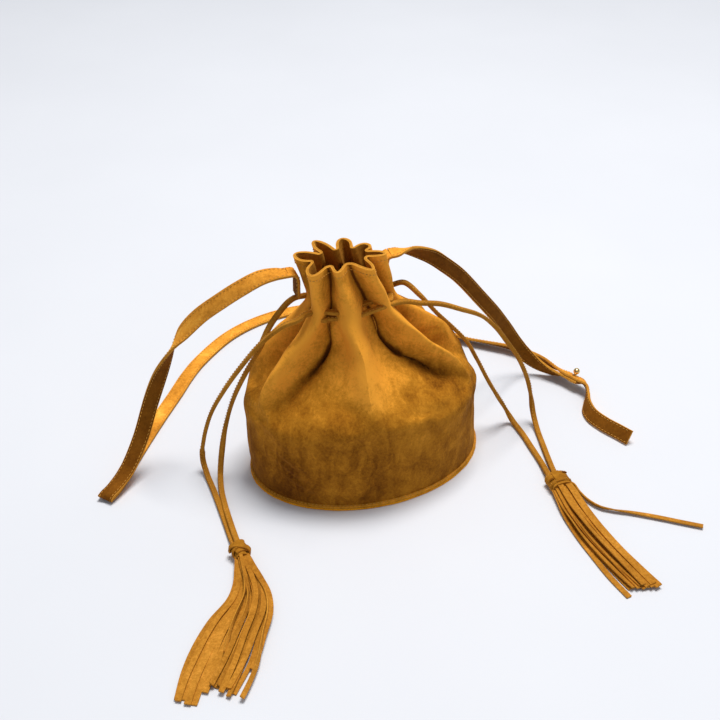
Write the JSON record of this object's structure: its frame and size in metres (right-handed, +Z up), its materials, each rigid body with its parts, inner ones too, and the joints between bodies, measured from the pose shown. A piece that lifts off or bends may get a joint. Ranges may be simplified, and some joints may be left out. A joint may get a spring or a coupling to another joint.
{
  "type": "suede drawstring pouch bag",
  "caption": "Gathered suede drawstring pouch on an oval base, with tasselled laces and a flat shoulder strap fastened by a ball stud.",
  "frame": {"origin": "middle of the base's underside, on the surface the pouch stands on", "axes": "+X along the base's long axis to the pouch's right, -Y to the front, +Z up"},
  "size_m": [0.5142, 0.5249, 0.228],
  "materials": {
    "suede_body": "mustard suede, brushed nap",
    "suede_facing": "suede flesh side with pale cut edge",
    "suede_base": "mustard suede, raw orange edge",
    "suede_lace": "folded and stitched suede lace",
    "suede_fringe": "cut suede strips",
    "suede_strap": "two-ply suede strap with edge stitching",
    "base_stiffener": "grey-brown fibreboard",
    "gold_metal": "polished gold plating"
  },
  "bodies": {
    "pouch": {"front_panel": "suede_body", "back_panel": "suede_body", "front_facing": "suede_facing", "back_facing": "suede_facing", "base_panel": "suede_base", "base_board": "base_stiffener", "left_lace_bend": "suede_lace", "right_lace_bend": "suede_lace", "left_strap_anchor": "suede_strap", "right_strap_anchor": "suede_strap"},
    "left_lace": {"left_lace_front": "suede_lace", "left_lace_back": "suede_lace"},
    "right_lace": {"right_lace_front": "suede_lace", "right_lace_back": "suede_lace"},
    "left_tassel": {"left_tassel_collar": "suede_fringe", "left_tassel_fringe": "suede_fringe"},
    "right_tassel": {"right_tassel_collar": "suede_fringe", "right_tassel_fringe": "suede_fringe", "right_loose_strip": "suede_fringe"},
    "strap": {"strap_long": "suede_strap", "strap_short": "suede_strap", "stud_screw": "gold_metal"},
    "ball": {"stud_ball": "gold_metal"}
  },
  "joints": [
    {"name": "left_lace_pull", "type": "slide", "parent": "pouch", "child": "left_lace", "axis": [-1, 0, 0], "range_m": [0, 0.018]},
    {"name": "right_lace_pull", "type": "slide", "parent": "pouch", "child": "right_lace", "axis": [1, 0, 0], "range_m": [0, 0.018]},
    {"name": "left_tassel_swing", "type": "hinge", "parent": "left_lace", "child": "left_tassel", "pos_m": [-0.1543, -0.0957, 0.008], "axis": [0, 0, 1], "range_deg": [-18, 18]},
    {"name": "right_tassel_swing", "type": "hinge", "parent": "right_lace", "child": "right_tassel", "pos_m": [0.1535, -0.11, 0.0072], "axis": [0, 0, 1], "range_deg": [-14, 14]},
    {"name": "strap_swing", "type": "hinge", "parent": "pouch", "child": "strap", "pos_m": [-0.02, 0.014, 0.2126], "axis": [1, 0, 0], "range_deg": [0, 125]},
    {"name": "ball_turn", "type": "hinge", "parent": "strap", "child": "ball", "pos_m": [0.243, 0.024, 0.012], "axis": [0.4502, 0.2001, 0.8702], "continuous": true}
  ]
}
